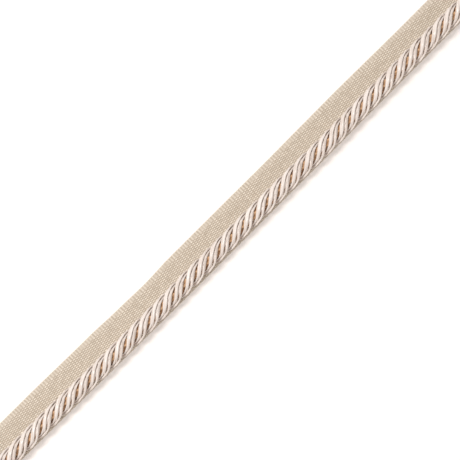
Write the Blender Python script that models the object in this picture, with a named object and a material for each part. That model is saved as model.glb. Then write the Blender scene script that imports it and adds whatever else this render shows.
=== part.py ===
"""A straight cut length of flanged cord trim, lying flat.

Three satin plies are laid round a thinner core yarn, and the cord lies along one side of a woven tape, the
flange, that is sewn into a seam. Metres, +Z up. The cord runs along X, the flange reaches out towards +Y, and
the origin is on the surface that the tape lies on, under the middle of the whole.
"""

import math
from collections import namedtuple

import bmesh
import bpy

MM = 0.001

# Driving dimensions
LENGTH = 250 * MM
TAPE_THICKNESS = 1.0 * MM
TAPE_EDGE_BEVEL = 0.3 * MM
CLEARANCE = 0.3 * MM

CORD_RADIUS = 3.2 * MM
PLY_COUNT = 3
PLY_PITCH = 17.46 * MM  # one full turn of a ply round the core
PLY_CENTRE_RADIUS = 2.26 * MM
FIRST_SLOT = -1.94 * MM  # where the core shows between two plies, on the cord's top line

YARNS_IN_PLY = 4
YARN_RADIUS = 0.5 * MM
YARN_CENTRE_RADIUS = 0.8 * MM
YARN_HALF_BACK = math.radians(24)  # half the turn that a yarn's flat back takes up, seen from the ply's centre
GROOVE_RADIUS = 0.85 * MM  # how far the groove between two yarns lies from the ply's centre
RADIAL_PRESS = 0.8  # a ply is pressed flatter towards the core and spread wider round it
SIDEWAYS_SPREAD = 1.65

CORE_RADIUS = 1.2 * MM
CORE_SIDES = 8
FACET_ALLOWANCE = 0.4 * MM  # how far the straight steps of a ply cut inside its curve, beside the core

# Steps along the length
PLY_STEPS_PER_TURN = 12
CORE_STEP = 5 * MM
TAPE_STEP = 5 * MM
SHARP_EDGE = math.radians(50)  # a fold in a surface that is sharper than this isn't shaded smooth

# The slight unevenness of a hand-laid length, in millimetres at places along X. reach and lip are how far the
# tape's two edges lie from the cord's line, on its free side and beyond the cord. sway moves the cord off that
# line, and lag shifts the plies along X.
Station = namedtuple("Station", "along sway reach lip lag")
STATIONS = (
    Station(-125, 0.15, 11.20, 3.2, -0.10),
    Station(-94, 0.15, 11.10, 3.2, 0.10),
    Station(-62, -0.30, 10.70, 3.5, 0.25),
    Station(-48, -0.35, 10.25, 3.6, 0.30),
    Station(-35, -0.25, 9.95, 3.7, 0.90),
    Station(-22, -0.10, 10.40, 3.7, 0.60),
    Station(0, -0.05, 10.40, 3.6, 0.35),
    Station(26, -0.10, 10.35, 3.5, 0.90),
    Station(45, -0.25, 10.50, 3.5, 1.35),
    Station(60, 0.00, 10.60, 3.3, 0.70),
    Station(94, 0.10, 10.35, 3.2, 0.10),
    Station(125, 0.10, 10.40, 3.2, 0.00),
)

PLY_UNDERSIDE = CORE_RADIUS + CLEARANCE + FACET_ALLOWANCE
YARN_BACK_RADIUS = YARN_CENTRE_RADIUS + YARN_RADIUS * math.cos(YARN_HALF_BACK)
CORD_HEIGHT = TAPE_THICKNESS + CLEARANCE + CORD_RADIUS
# The cord's line lies to one side, so that the whole is centred on the origin.
CORD_LINE = (max(row.lip for row in STATIONS) - max(row.reach for row in STATIONS)) / 2 * MM


def clear_scene():
    for obj in list(bpy.data.objects):
        bpy.data.objects.remove(obj, do_unlink=True)


def cloth_material(name, colour, roughness):
    material = bpy.data.materials.new(name)
    material.use_nodes = True
    shader = material.node_tree.nodes["Principled BSDF"]
    shader.inputs["Base Color"].default_value = (*colour, 1)
    shader.inputs["Roughness"].default_value = roughness
    shader.inputs["Metallic"].default_value = 0
    return material


def unevenness(x, column):
    """The value of one column of STATIONS at x, eased smoothly between its rows."""
    place = x / MM
    for before, after in zip(STATIONS, STATIONS[1:]):
        if place <= after.along:
            break
    share = min(max((place - before.along) / (after.along - before.along), 0), 1)
    eased = share * share * (3 - 2 * share)
    start = getattr(before, column)
    end = getattr(after, column)
    return (start + (end - start) * eased) * MM


def cord_middle(x):
    """Where the cord's middle lies across the part, at x."""
    return CORD_LINE + unevenness(x, "sway")


def places_along(step):
    """Evenly spaced x values from one cut end to the other, about a step apart."""
    count = round(LENGTH / step)
    return [-LENGTH / 2 + LENGTH * i / count for i in range(count + 1)]


def loft(name, rings, material):
    """A closed solid through rings of points, each ring running anticlockwise as seen from +X, with flat ends.

    Each side is split along the lay of the plies, so that it bends with them.
    """
    mesh = bmesh.new()
    loops = [[mesh.verts.new(point) for point in ring] for ring in rings]
    for near, far in zip(loops, loops[1:]):
        for i in range(len(near)):
            j = (i + 1) % len(near)
            mesh.faces.new((near[i], near[j], far[i]))
            mesh.faces.new((near[j], far[j], far[i]))
    mesh.faces.new(reversed(loops[0]))
    mesh.faces.new(loops[-1])
    data = bpy.data.meshes.new(name)
    mesh.to_mesh(data)
    mesh.free()
    data.shade_smooth()
    data.set_sharp_from_angle(angle=SHARP_EDGE)
    data.materials.append(material)
    obj = bpy.data.objects.new(name, data)
    bpy.context.collection.objects.link(obj)
    return obj


def ply_angle(x, ply):
    """How far round the cord a ply has gone at x: 0 on top, a quarter turn towards +Y."""
    turned = (x - unevenness(x, "lag") - FIRST_SLOT) / PLY_PITCH
    halfway_to_next = 0.5 / PLY_COUNT
    return 2 * math.pi * (turned + halfway_to_next + ply / PLY_COUNT)


def ply_outline():
    """(direction, radius) of each point of a ply's section: two on each yarn's back and one in each groove.

    A direction is measured like ply_angle. The ply is turned back as it is laid, so each of its yarns keeps
    facing the same way all along.
    """
    yarn_spacing = 2 * math.pi / YARNS_IN_PLY
    outline = []
    for yarn in range(YARNS_IN_PLY):
        facing = yarn_spacing * (yarn + 0.5)
        outline.append((facing - YARN_HALF_BACK, YARN_BACK_RADIUS))
        outline.append((facing + YARN_HALF_BACK, YARN_BACK_RADIUS))
        outline.append((facing + yarn_spacing / 2, GROOVE_RADIUS))
    return outline


def ply_ring(x, angle, outline):
    """The ply's section at x: pressed towards the core, spread sideways, and kept within the cord's round outside
    and clear of the core.
    """
    ring = []
    for direction, radius in outline:
        outwards = PLY_CENTRE_RADIUS + radius * math.cos(direction - angle) * RADIAL_PRESS
        sideways = radius * math.sin(direction - angle) * SIDEWAYS_SPREAD
        from_middle = min(max(math.hypot(outwards, sideways), PLY_UNDERSIDE), CORD_RADIUS)
        around = angle + math.atan2(sideways, outwards)
        y = cord_middle(x) + from_middle * math.sin(around)
        z = CORD_HEIGHT + from_middle * math.cos(around)
        ring.append((x, y, z))
    return ring[::-1]


def build_ply(ply, material):
    outline = ply_outline()
    places = places_along(PLY_PITCH / PLY_STEPS_PER_TURN)
    rings = [ply_ring(x, ply_angle(x, ply), outline) for x in places]
    return loft(f"ply_{ply + 1}", rings, material)


def build_core(material):
    rings = []
    for x in places_along(CORE_STEP):
        ring = []
        for side in range(CORE_SIDES):
            turn = 2 * math.pi * side / CORE_SIDES
            y = cord_middle(x) + CORE_RADIUS * math.cos(turn)
            z = CORD_HEIGHT + CORE_RADIUS * math.sin(turn)
            ring.append((x, y, z))
        rings.append(ring)
    return loft("core", rings, material)


def build_flange(material):
    """The woven tape: flat above and below, with both edges slightly rounded."""
    bevel = TAPE_EDGE_BEVEL
    rings = []
    for x in places_along(TAPE_STEP):
        low = CORD_LINE - unevenness(x, "lip")
        high = CORD_LINE + unevenness(x, "reach")
        rings.append(
            [
                (x, low + bevel, 0),
                (x, high - bevel, 0),
                (x, high, TAPE_THICKNESS / 2),
                (x, high - bevel, TAPE_THICKNESS),
                (x, low + bevel, TAPE_THICKNESS),
                (x, low, TAPE_THICKNESS / 2),
            ]
        )
    return loft("flange", rings, material)


def main():
    clear_scene()
    tape_cloth = cloth_material("tape_cloth", (0.64, 0.55, 0.44), 0.85)
    core_yarn = cloth_material("core_yarn", (0.38, 0.22, 0.11), 0.7)
    ply_satin = cloth_material("ply_satin", (0.86, 0.82, 0.76), 0.45)
    build_flange(tape_cloth)
    build_core(core_yarn)
    for ply in range(PLY_COUNT):
        build_ply(ply, ply_satin)


main()
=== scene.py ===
"""Looks of a straight cut length of flanged cord trim, lying flat on a white table, seen from straight above.

Metres, +Z up. The cord runs along X and the tape reaches out towards +Y. Three plies of satin strands are laid
round a brown core, and the cord lies along one side of a ribbed woven tape.
"""

import math
from collections import namedtuple

import bpy
import numpy as np
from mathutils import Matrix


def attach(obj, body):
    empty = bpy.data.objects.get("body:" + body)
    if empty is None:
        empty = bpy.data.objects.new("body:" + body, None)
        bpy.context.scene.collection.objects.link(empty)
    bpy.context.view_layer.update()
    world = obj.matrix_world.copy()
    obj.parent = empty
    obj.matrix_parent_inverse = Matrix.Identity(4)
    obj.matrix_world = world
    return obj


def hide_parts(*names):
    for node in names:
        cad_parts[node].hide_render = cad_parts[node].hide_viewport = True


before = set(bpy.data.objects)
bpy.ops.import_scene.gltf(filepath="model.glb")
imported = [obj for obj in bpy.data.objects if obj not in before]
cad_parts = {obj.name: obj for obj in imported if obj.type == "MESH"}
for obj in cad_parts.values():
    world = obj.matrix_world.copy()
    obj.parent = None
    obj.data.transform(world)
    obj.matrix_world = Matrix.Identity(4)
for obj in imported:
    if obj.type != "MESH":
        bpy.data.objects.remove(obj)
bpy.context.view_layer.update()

MM = 0.001

# The sizes that the solids have too
LENGTH = 250 * MM
TAPE_THICKNESS = 1.0 * MM
CLEARANCE = 0.3 * MM
CORD_RADIUS = 3.2 * MM
CORD_HEIGHT = TAPE_THICKNESS + CLEARANCE + CORD_RADIUS
PLY_COUNT = 3
PLY_PITCH = 17.46 * MM  # one full turn of a ply round the core
PLY_CENTRE_RADIUS = 2.26 * MM
FIRST_SLOT = -1.94 * MM  # where the core shows between two plies, on the cord's top line

# The slight unevenness of a hand-laid length, in millimetres at places along X. reach and lip are how far the
# tape's two edges lie from the cord's line, on its free side and beyond the cord. sway moves the cord off that
# line, and lag shifts the plies along X.
Station = namedtuple("Station", "along sway reach lip lag")
STATIONS = (
    Station(-125, 0.15, 11.20, 3.2, -0.10),
    Station(-94, 0.15, 11.10, 3.2, 0.10),
    Station(-62, -0.30, 10.70, 3.5, 0.25),
    Station(-48, -0.35, 10.25, 3.6, 0.30),
    Station(-35, -0.25, 9.95, 3.7, 0.90),
    Station(-22, -0.10, 10.40, 3.7, 0.60),
    Station(0, -0.05, 10.40, 3.6, 0.35),
    Station(26, -0.10, 10.35, 3.5, 0.90),
    Station(45, -0.25, 10.50, 3.5, 1.35),
    Station(60, 0.00, 10.60, 3.3, 0.70),
    Station(94, 0.10, 10.35, 3.2, 0.10),
    Station(125, 0.10, 10.40, 3.2, 0.00),
)
CORD_LINE = (max(row.lip for row in STATIONS) - max(row.reach for row in STATIONS)) / 2 * MM

# Where each flattened strand lies in its ply, and its size in millimetres. facing is the direction from the
# ply's centre, in degrees from straight up towards +Y. It stays the same all along, because the plies are
# turned back as they are laid. half_width is measured round the cord and half_thickness towards its middle.
# roll, in degrees, lifts the strand's edge on the side that the plies come from. swell widens the strand where
# the ply is at SWELL_PEAK round the cord and narrows it on the other side, as a share. nearest and farthest
# are the limits of how far the strand's own middle lies from the cord's middle.
Strand = namedtuple("Strand", "facing offset half_width half_thickness roll swell nearest farthest")
STRANDS = (
    Strand(73, 0.74, 0.84, 0.37, 12, 0.30, 2.00, 2.88),  # the broad one, on the ply's side towards the tape
    Strand(-80, 0.68, 0.64, 0.32, -36, 0, 2.08, 2.74),  # the one beside it, tilted away from the tape
    Strand(100, 0.82, 0.66, 0.34, 0, 0, 2.10, 2.86),  # this and the next fill the ply out
    Strand(-140, 0.65, 0.70, 0.34, 0, 0, 1.83, 2.91),
    Strand(10, 0.72, 0.55, 0.30, 0, 0, 1.80, 2.06),  # the deepest, which closes the ends of the slots
)
RADIAL_PRESS = 0.8  # a ply is pressed flatter towards the core and spread wider round it
SIDEWAYS_SPREAD = 1.7
SWELL_PEAK = math.radians(45)
EASE = 0.06 * MM  # how softly nearest and farthest take hold
STEP = 0.5 * MM
END_STAGGER = 0.05 * MM  # each strand ends that much before the one above it in the list, at both ends

# How a strand is made up: sides and ridges go round it, the ridges are so deep as a share of its half sizes,
# and they wind round it once in each lay.
Make = namedtuple("Make", "sides ridges ridge_depth lay")
PLY_STRAND_MAKE = Make(36, 7, 0.045, 40 * MM)
CORE_STRAND_MAKE = Make(20, 4, 0.05, -5 * MM)

CORE_STRANDS = 3
CORE_STRAND_RADIUS = 0.80 * MM
CORE_STRAND_OFFSET = 0.78 * MM
CORE_LAY = -11 * MM

# How far a strand wanders, and over what length: slowly and quickly round its ply's centre, and between
# fuller and thinner as a share of its size
WANDER_STRETCHES = (1.0, 0.61, 0.37)
SLOW_TURN = math.radians(9)
SLOW_TURN_WAVE = 31 * MM
QUICK_TURN = math.radians(3.5)
QUICK_TURN_WAVE = 8 * MM
FULLNESS = 0.13
FULLNESS_WAVE = 14 * MM

# Seeds. The first two are for strands, and the next two are added to a strand's own.
PLY_SEED = 20
CORE_SEED = 60
QUICK_TURN_SEED = 900
FULLNESS_SEED = 500
RIB_BEND_SEED = 7
RIB_LEAN_SEED = 8
WARP_SEED = 9
THREAD_SEED = 11
NOISE_SHIFT = 0.3  # metres between the places of two seeds in the noise, so that no two strands look alike

# The weave
RIB_PITCH = 1.15 * MM
COLUMNS_PER_RIB = 4
RIB_BEND = 0.12 * MM
RIB_BEND_WAVE = 9 * MM
RIB_LEAN = 0.06  # of a rib's pitch
RIB_LEAN_WAVE = 5 * MM
RIB_FULLNESS = (0.3, 1.2)
WARP_PITCH = 0.37 * MM
ROWS_PER_WARP = 4
WARP_BEND = 0.15  # of a warp thread's pitch
WARP_BEND_WAVE = 23 * MM
WARP_COUNT = 60  # more than lie across the tape
SPARE_RIBS = 6
THREAD_FULLNESS = (0.35, 1.4)
THREAD_OVER = 1.15  # how strongly a thread shows where it runs over the other, and under it
THREAD_UNDER = 0.55
UNDERSIDE_RIB = 0.4

# The tape's section. The rows of its mesh run over the top from the free edge and back underneath. They are
# fine as far as the cord hides the weave, and from there each lies at a share of the way to the lip. Those
# underneath lie at shares of the whole width.
EXTRA_LIP = 0.25 * MM
FINE_WIDTH = 7.7 * MM
TOP_SHARES = (0.2, 0.45, 0.7, 0.84, 0.88, 0.92, 0.95, 0.98, 1.0)
UNDERSIDE_SHARES = (0.97, 0.9, 0.7, 0.5, 0.3, 0.15, 0.06, 0.02)
THREAD_ROOM = 0.06 * MM  # left for the relief, within the tape's thickness
EDGE_ROUND = 0.45 * MM
SELVEDGE = 1.8 * MM  # the plain ribbed border along the free edge
SELVEDGE_FADE = (-0.5 * MM, 0.3 * MM)
THREAD_RELIEF = 0.12 * MM
RIB_RELIEF = 0.02 * MM
SELVEDGE_RELIEF = 0.03 * MM
UNDERSIDE_RELIEF = 0.04 * MM
EDGE_RELIEF = 0.07 * MM
EDGE_RELIEF_DEPTH = 0.3 * MM
SEAT_RISE = 0.22 * MM  # the tape swells a little under the cord
SEAT_WIDTH = 1.6 * MM

# How light the weave is painted, on top of the painted light on the threads' tops and painted shade between
# them.
# The ribs get painted light on their tops and painted shade between them, more so in the selvedge; the
# selvedge is lighter all over; beside the cord the tape gets painted light, as if bounced off the cord; and
# the lip, in the cord's shadow, gets painted light. The places are measured from the cord's line, and beyond
# it where they are positive.
RIB_PAINTED_SHADING = 0.15
SELVEDGE_RIB_PAINTED_SHADING = 0.2
SELVEDGE_SHADE = 0.22
BESIDE_CORD_PAINTED_LIGHT = 0.07
BESIDE_CORD_FADE = (-5.5 * MM, -3 * MM)
LIP_PAINTED_LIGHT = 0.15
LIP_FADE = (2.6 * MM, 3.2 * MM)


# Shapes along the cord


def unevenness(x, column):
    """The values of one column of STATIONS at x, eased smoothly between its rows."""
    along = np.array([row.along for row in STATIONS]) * MM
    value = np.array([getattr(row, column) for row in STATIONS]) * MM
    before = np.clip(np.searchsorted(along, x) - 1, 0, len(along) - 2)
    eased = smooth_step(x, along[before], along[before + 1])
    return value[before] + (value[before + 1] - value[before]) * eased


def smooth_step(value, low, high):
    share = np.clip((value - low) / (high - low), 0, 1)
    return share * share * (3 - 2 * share)


def at_most(value, limit, ease):
    return limit - ease * np.logaddexp(0, (limit - value) / ease)


def at_least(value, limit, ease):
    return limit + ease * np.logaddexp(0, (value - limit) / ease)


def wander(x, seed, wave):
    """A smooth seeded wander between about -1 and 1 along x, with waves about that long."""
    rng = np.random.default_rng(seed)
    total = np.zeros_like(x)
    for stretch in WANDER_STRETCHES:
        total = total + np.sin(2 * math.pi * (x / (wave * stretch) + rng.random())) * stretch
    return total / sum(WANDER_STRETCHES)


def places_along(strand):
    """Places along a strand, from one cut end to the other."""
    half = LENGTH / 2 - strand * END_STAGGER
    return np.linspace(-half, half, round(LENGTH / STEP) + 1)


def cord_middle(x):
    """Where the cord's middle lies across the part, at x."""
    return CORD_LINE + unevenness(x, "sway")


def ply_angle(x, ply):
    """How far round the cord a ply has gone at x: 0 on top, a quarter turn towards +Y."""
    turned = (x - unevenness(x, "lag") - FIRST_SLOT) / PLY_PITCH
    halfway_to_next = 0.5 / PLY_COUNT
    return 2 * math.pi * (turned + halfway_to_next + ply / PLY_COUNT)


def strand_line(x, ply, strand, seed):
    """Where a strand's middle runs: its distance from the cord's middle, and its turn round it."""
    angle = ply_angle(x, ply)
    slow = SLOW_TURN * wander(x, seed, SLOW_TURN_WAVE)
    quick = QUICK_TURN * wander(x, seed + QUICK_TURN_SEED, QUICK_TURN_WAVE)
    facing = math.radians(strand.facing) + slow + quick
    outwards = PLY_CENTRE_RADIUS + strand.offset * MM * np.cos(facing - angle) * RADIAL_PRESS
    sideways = strand.offset * MM * np.sin(facing - angle) * SIDEWAYS_SPREAD
    from_middle = np.hypot(outwards, sideways)
    from_middle = at_least(from_middle, strand.nearest * MM, EASE)
    from_middle = at_most(from_middle, strand.farthest * MM, EASE)
    return from_middle, angle + np.arctan2(sideways, outwards)


# Meshes


def ring_faces(rings, sides):
    """The four-sided faces between rings of points, each ring closed and the points counted ring by ring."""
    start = np.arange(rings - 1)[:, None] * sides
    near = start + np.arange(sides)[None, :]
    near_next = start + (np.arange(sides)[None, :] + 1) % sides
    return np.stack([near, near + sides, near_next + sides, near_next], axis=-1).reshape(-1, 4)


def tube(x, line, size, make, seed):
    """A ridged flattened strand with flat cut ends, along a line of distance and turn about the cord's middle.

    Returns its points, its faces and, for each point, where it lies in the strand: across, across and along.
    """
    from_middle, around = line
    half_width, half_thickness, roll = size
    out = np.stack([np.sin(around), np.cos(around)], axis=-1)[:, None, :]
    across = np.stack([np.cos(around), -np.sin(around)], axis=-1)[:, None, :]
    turn = 2 * math.pi * np.arange(make.sides)[None, :] / make.sides
    wound = turn - 2 * math.pi * (x / make.lay)[:, None]
    ridge = 1 - make.ridge_depth + make.ridge_depth * np.cos(make.ridges * wound)
    fullness = 1 + FULLNESS * wander(x, seed + FULLNESS_SEED, FULLNESS_WAVE)[:, None]
    flat = half_width[:, None] * np.sin(turn) * ridge * fullness
    thick = half_thickness * np.cos(turn) * ridge * (2 - fullness)
    sideways = flat * math.cos(roll) + thick * math.sin(roll)
    bent_round_cord = sideways**2 / (2 * from_middle[:, None])
    outwards = thick * math.cos(roll) - flat * math.sin(roll) - bent_round_cord
    centre = np.stack([cord_middle(x), np.full_like(x, CORD_HEIGHT)], axis=-1)[:, None, :]
    section = centre + out * (from_middle[:, None] + outwards)[..., None] + across * sideways[..., None]
    along = np.broadcast_to(x[:, None], wound.shape)
    points = np.concatenate([along[..., None], section], axis=-1)
    middle_size = (half_width.mean() + half_thickness) / 2
    lie_along = along + NOISE_SHIFT * seed
    lie = np.stack([np.cos(wound) * middle_size, np.sin(wound) * middle_size, lie_along], axis=-1)
    faces = ring_faces(len(x), make.sides).tolist()
    last_ring = (len(x) - 1) * make.sides
    faces.append(list(range(make.sides)))
    faces.append(list(range(last_ring, last_ring + make.sides))[::-1])
    return points.reshape(-1, 3), faces, lie.reshape(-1, 3)


def join(parts):
    """One mesh's points, faces and places in the strand from those of several."""
    points, faces, lies = [], [], []
    count = 0
    for part_points, part_faces, part_lie in parts:
        points.append(part_points)
        faces += [[i + count for i in face] for face in part_faces]
        lies.append(part_lie)
        count += len(part_points)
    return np.concatenate(points), faces, np.concatenate(lies)


def piece(name, points, faces, material, attribute, kind, values):
    """A mesh object with one attribute for its material. Its sides are shaded smooth and its cut ends flat."""
    data = bpy.data.meshes.new(name)
    data.from_pydata(points.tolist(), [], faces)
    data.polygons.foreach_set("use_smooth", [len(face) == 4 for face in faces])
    made = data.attributes.new(attribute, kind, "POINT")
    made.data.foreach_set("vector" if kind == "FLOAT_VECTOR" else "value", np.ravel(values))
    data.materials.append(material)
    obj = bpy.data.objects.new(name, data)
    bpy.context.collection.objects.link(obj)
    return obj


# Materials


def new_material(name):
    material = bpy.data.materials.new(name)
    material.use_nodes = True
    tree = material.node_tree
    return material, tree, tree.nodes["Principled BSDF"]


def node(tree, kind, **settings):
    made = tree.nodes.new(kind)
    for key, value in settings.items():
        setattr(made, key, value)
    return made


def noise(tree, vector, scale, detail):
    made = node(tree, "ShaderNodeTexNoise")
    made.inputs["Scale"].default_value = scale
    made.inputs["Detail"].default_value = detail
    tree.links.new(vector, made.inputs["Vector"])
    return made.outputs["Fac"]


def stretched_noise(tree, vector, stretch):
    """Noise with so many waves to the metre along each of the vector's three directions."""
    made = node(tree, "ShaderNodeMapping")
    made.inputs["Scale"].default_value = stretch
    tree.links.new(vector, made.inputs["Vector"])
    return noise(tree, made.outputs["Vector"], scale=1, detail=2)


def ramp(tree, value, stops):
    made = node(tree, "ShaderNodeValToRGB")
    elements = made.color_ramp.elements
    while len(elements) < len(stops):
        elements.new(0.5)
    for element, (place, colour) in zip(elements, stops):
        element.position = place
        element.color = (*colour, 1)
    tree.links.new(value, made.inputs["Fac"])
    return made.outputs["Color"]


def multiply(tree, first, second):
    made = node(tree, "ShaderNodeMix", data_type="RGBA", blend_type="MULTIPLY")
    made.inputs["Factor"].default_value = 1
    tree.links.new(first, made.inputs["A"])
    tree.links.new(second, made.inputs["B"])
    return made.outputs["Result"]


def bump(tree, height, strength, distance):
    made = node(tree, "ShaderNodeBump")
    made.inputs["Strength"].default_value = strength
    made.inputs["Distance"].default_value = distance
    tree.links.new(height, made.inputs["Height"])
    return made.outputs["Normal"]


def yarn_material(name, dark, light, roughness):
    """Fine filaments that run along the yarn, between a dark and a light colour."""
    material, tree, shader = new_material(name)
    lie = node(tree, "ShaderNodeAttribute", attribute_name="lie").outputs["Vector"]
    filaments = stretched_noise(tree, lie, (5200, 5200, 170))
    patches = stretched_noise(tree, lie, (900, 900, 160))
    fine = ramp(tree, filaments, [(0.3, dark), (0.62, light)])
    broad = ramp(tree, patches, [(0.3, (0.93, 0.92, 0.90)), (0.6, (1, 1, 1))])
    tree.links.new(multiply(tree, fine, broad), shader.inputs["Base Color"])
    shader.inputs["Roughness"].default_value = roughness
    shader.inputs["Sheen Weight"].default_value = 0.1
    shader.inputs["Sheen Roughness"].default_value = 0.4
    relief = bump(tree, filaments, strength=0.35, distance=0.06 * MM)
    tree.links.new(relief, shader.inputs["Normal"])
    return material


def tape_material(name):
    """Matt cotton, with painted light on top of each thread and painted shade between them."""
    material, tree, shader = new_material(name)
    weave_and_painted_shading = node(tree, "ShaderNodeAttribute", attribute_name="weave_and_painted_shading").outputs["Fac"]
    place = node(tree, "ShaderNodeTexCoord").outputs["Object"]
    # painted shade in the hollows between the threads, and painted light on their tops
    between = (0.30, 0.22, 0.15)
    flank = (0.54, 0.46, 0.37)
    painted_lit_crown = (0.98, 0.90, 0.78)
    threads = ramp(tree, weave_and_painted_shading, [(0.1, between), (0.48, flank), (1, painted_lit_crown)])
    patches = noise(tree, place, scale=700, detail=3)
    broad = ramp(tree, patches, [(0.3, (0.90, 0.89, 0.87)), (0.65, (1, 1, 1))])
    tree.links.new(multiply(tree, threads, broad), shader.inputs["Base Color"])
    shader.inputs["Roughness"].default_value = 0.85
    shader.inputs["Sheen Weight"].default_value = 0.15
    fibres = stretched_noise(tree, place, (2500, 9000, 9000))
    relief = bump(tree, fibres, strength=0.3, distance=0.05 * MM)
    tree.links.new(relief, shader.inputs["Normal"])
    return material


# Cord


def build_plies(material):
    for ply in range(PLY_COUNT):
        parts = []
        for i, strand in enumerate(STRANDS):
            x = places_along(i)
            seed = PLY_SEED + ply * len(STRANDS) + i
            swell = 1 + strand.swell * np.cos(ply_angle(x, ply) - SWELL_PEAK)
            size = (strand.half_width * MM * swell, strand.half_thickness * MM, math.radians(strand.roll))
            parts.append(tube(x, strand_line(x, ply, strand, seed), size, PLY_STRAND_MAKE, seed))
        points, faces, lie = join(parts)
        made = piece(f"ply_{ply + 1}_yarns", points, faces, material, "lie", "FLOAT_VECTOR", lie)
        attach(made, "root")
        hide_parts(f"ply_{ply + 1}")


def build_core(material):
    parts = []
    for strand in range(CORE_STRANDS):
        x = places_along(strand)
        around = 2 * math.pi * (x / CORE_LAY + strand / CORE_STRANDS)
        line = (np.full_like(x, CORE_STRAND_OFFSET), around)
        size = (np.full_like(x, CORE_STRAND_RADIUS), CORE_STRAND_RADIUS, 0)
        parts.append(tube(x, line, size, CORE_STRAND_MAKE, CORE_SEED + strand))
    points, faces, lie = join(parts)
    made = piece("core_strands", points, faces, material, "lie", "FLOAT_VECTOR", lie)
    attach(made, "root")
    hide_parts("core")


# Tape


def tape_rows(width):
    """How far each row of the tape's mesh lies from the free edge, and its side: 1 on top and -1 below."""
    fine = np.arange(0, FINE_WIDTH / MM, WARP_PITCH / MM / ROWS_PER_WARP) * MM
    rows = [np.full_like(width, inset) for inset in fine]
    rows += [fine[-1] + (width - fine[-1]) * share for share in TOP_SHARES]
    on_top = len(rows)
    rows += [width * share for share in UNDERSIDE_SHARES]
    side = np.where(np.arange(len(rows)) < on_top, 1.0, -1.0)
    return np.stack(rows, axis=1), side


def tape_threads(x, inset, side):
    """How far the threads, and the ribs, stand up or lie low at each point, from about -1 to 1."""
    bent = (x + RIB_BEND * wander(x, RIB_BEND_SEED, RIB_BEND_WAVE))[:, None]
    column = bent / RIB_PITCH + RIB_LEAN * wander(inset, RIB_LEAN_SEED, RIB_LEAN_WAVE)
    warp = inset / WARP_PITCH + WARP_BEND * wander(x, WARP_SEED, WARP_BEND_WAVE)[:, None]
    checker = np.cos(math.pi * column) * np.cos(math.pi * warp)
    rng = np.random.default_rng(THREAD_SEED)
    rib_count = round(LENGTH / RIB_PITCH) + SPARE_RIBS
    thread_fullness = rng.uniform(*THREAD_FULLNESS, (rib_count, WARP_COUNT))
    rib_fullness = rng.uniform(*RIB_FULLNESS, rib_count)
    nearest_rib = np.round(column).astype(int) + rib_count // 2
    nearest_warp = np.clip(np.round(warp).astype(int), 0, WARP_COUNT - 1)
    over = THREAD_OVER * checker * thread_fullness[nearest_rib, nearest_warp]
    threads = np.where(checker > 0, over, THREAD_UNDER * checker)
    ribs = np.cos(2 * math.pi * column) * rib_fullness[nearest_rib]
    # the underside has too few rows for the weave, so it shows the ribs alone
    return np.where(side > 0, threads, UNDERSIDE_RIB * ribs), ribs


def fade(inset, line, distances):
    """From 0 at the first distance beyond a line to 1 at the second."""
    start, end = distances
    return smooth_step(inset, line + start, line + end)


def build_tape(material):
    columns = round(LENGTH / (RIB_PITCH / COLUMNS_PER_RIB))
    x = np.linspace(-LENGTH / 2, LENGTH / 2, columns + 1)
    reach = unevenness(x, "reach")
    width = reach + unevenness(x, "lip") + EXTRA_LIP
    inset, side = tape_rows(width)
    threads, ribs = tape_threads(x, inset, side)
    reach = reach[:, None]
    width = width[:, None]
    plain = 1 - fade(inset, SELVEDGE, SELVEDGE_FADE)

    # each edge is rounded: the height falls from the face to the middle
    gap = np.minimum(inset, width - inset)
    rounding = np.sqrt(1 - (1 - np.clip(gap / EDGE_ROUND, 0, 1)) ** 2)
    top_relief = threads * (1 - plain) * THREAD_RELIEF + ribs * (RIB_RELIEF + plain * SELVEDGE_RELIEF)
    relief = np.where(side > 0, top_relief, ribs * UNDERSIDE_RELIEF)
    half = TAPE_THICKNESS / 2 - THREAD_ROOM
    seat = np.where(side > 0, np.exp(-(((inset - reach) / SEAT_WIDTH) ** 2)) * SEAT_RISE, 0)
    z = np.maximum(TAPE_THICKNESS / 2 + side * (half + relief) * rounding + seat, 0)
    beyond = np.where(inset < width / 2, 1, -1)
    y = CORD_LINE + reach - inset + beyond * ribs * EDGE_RELIEF * np.exp(-gap / EDGE_RELIEF_DEPTH)
    points = np.stack([np.broadcast_to(x[:, None], y.shape), y, z], axis=-1).reshape(-1, 3)

    # painted light and shade: the weave is coloured lighter where threads and ribs stand up and darker where
    # they lie low
    rib_painted_shading = ribs * (RIB_PAINTED_SHADING + plain * SELVEDGE_RIB_PAINTED_SHADING)
    weave_and_painted_shading = 0.5 + 0.5 * (threads * (1 - plain) + rib_painted_shading + plain * SELVEDGE_SHADE)
    # painted light on the tape beside the cord, as if bounced off it
    weave_and_painted_shading = weave_and_painted_shading + BESIDE_CORD_PAINTED_LIGHT * fade(inset, reach, BESIDE_CORD_FADE)
    # painted light on the lip, which lies in the cord's shadow
    weave_and_painted_shading = weave_and_painted_shading + LIP_PAINTED_LIGHT * fade(inset, reach, LIP_FADE)

    count = inset.shape[1]
    faces = ring_faces(columns + 1, count)[:, [0, 3, 2, 1]].tolist()
    faces.append(list(range(count))[::-1])
    faces.append(list(range(columns * count, (columns + 1) * count)))
    made = piece("tape_weave", points, faces, material, "weave_and_painted_shading", "FLOAT", np.clip(weave_and_painted_shading, 0, 1))
    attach(made, "root")
    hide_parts("flange")


# Stage, light and camera


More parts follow.
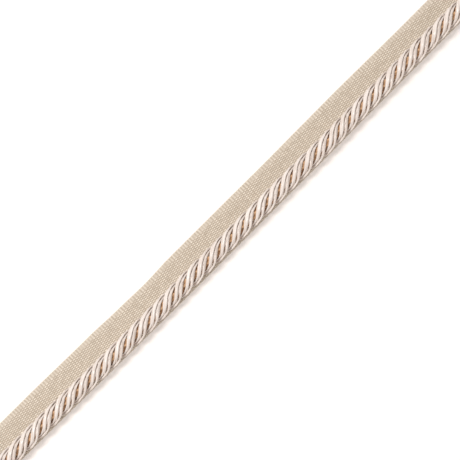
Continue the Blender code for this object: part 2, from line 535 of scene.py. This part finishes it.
def build_stage():
    """A white table, just under the tape."""
    material, _, shader = new_material("white_table")
    shader.inputs["Base Color"].default_value = (0.84, 0.79, 0.76, 1)
    shader.inputs["Emission Color"].default_value = (1, 0.98, 0.96, 1)
    shader.inputs["Emission Strength"].default_value = 0.24
    shader.inputs["Roughness"].default_value = 1
    shader.inputs["Specular IOR Level"].default_value = 0
    half = 1.5
    corners = [(-half, -half, 0), (half, -half, 0), (half, half, 0), (-half, half, 0)]
    data = bpy.data.meshes.new("floor")
    data.from_pydata(corners, [], [(0, 1, 2, 3)])
    data.materials.append(material)
    floor = bpy.data.objects.new("floor", data)
    floor.location.z = -0.05 * MM
    bpy.context.collection.objects.link(floor)


def area_light(name, tilt, turn, distance, size, power):
    """A square lamp that faces the origin, at so many degrees from straight up and from +X towards +Y."""
    data = bpy.data.lights.new(name, "AREA")
    data.shape = "SQUARE"
    data.size = size
    data.energy = power
    lamp = bpy.data.objects.new(name, data)
    tilt = math.radians(tilt)
    turn = math.radians(turn)
    out = distance * math.sin(tilt)
    lamp.location = (out * math.cos(turn), out * math.sin(turn), distance * math.cos(tilt))
    lamp.rotation_euler = (0, tilt, turn)
    bpy.context.collection.objects.link(lamp)


def build_light():
    world = bpy.data.worlds.new("studio")
    world.use_nodes = True
    background = world.node_tree.nodes["Background"]
    background.inputs["Color"].default_value = (1, 0.94, 0.90, 1)
    background.inputs["Strength"].default_value = 0.54
    bpy.context.scene.world = world
    area_light("softbox", tilt=27, turn=121, distance=1.2, size=0.34, power=9.9)
    bpy.context.scene.view_settings.view_transform = "Standard"


def build_camera():
    """Straight above, turned so that the trim rises to the right."""
    lens = 150
    sensor = 36
    view_width = 161 * MM
    view_height = 6 * MM  # the height above the table at which the view is that wide
    view_middle = -1.6 * MM
    trim_rise = math.radians(44.9)
    data = bpy.data.cameras.new("camera")
    data.lens = lens
    data.sensor_width = sensor
    camera = bpy.data.objects.new("camera", data)
    camera.location = (0, view_middle, view_height + view_width / sensor * lens)
    camera.rotation_euler = (0, 0, -trim_rise)
    bpy.context.collection.objects.link(camera)
    bpy.context.scene.camera = camera


build_camera()
build_stage()
build_light()
build_tape(tape_material("tape_cloth"))
build_core(yarn_material("core_yarn_brown", (0.47, 0.28, 0.15), (0.74, 0.47, 0.27), roughness=0.6))
build_plies(yarn_material("satin_ivory", (0.66, 0.56, 0.50), (0.91, 0.845, 0.80), roughness=0.26))
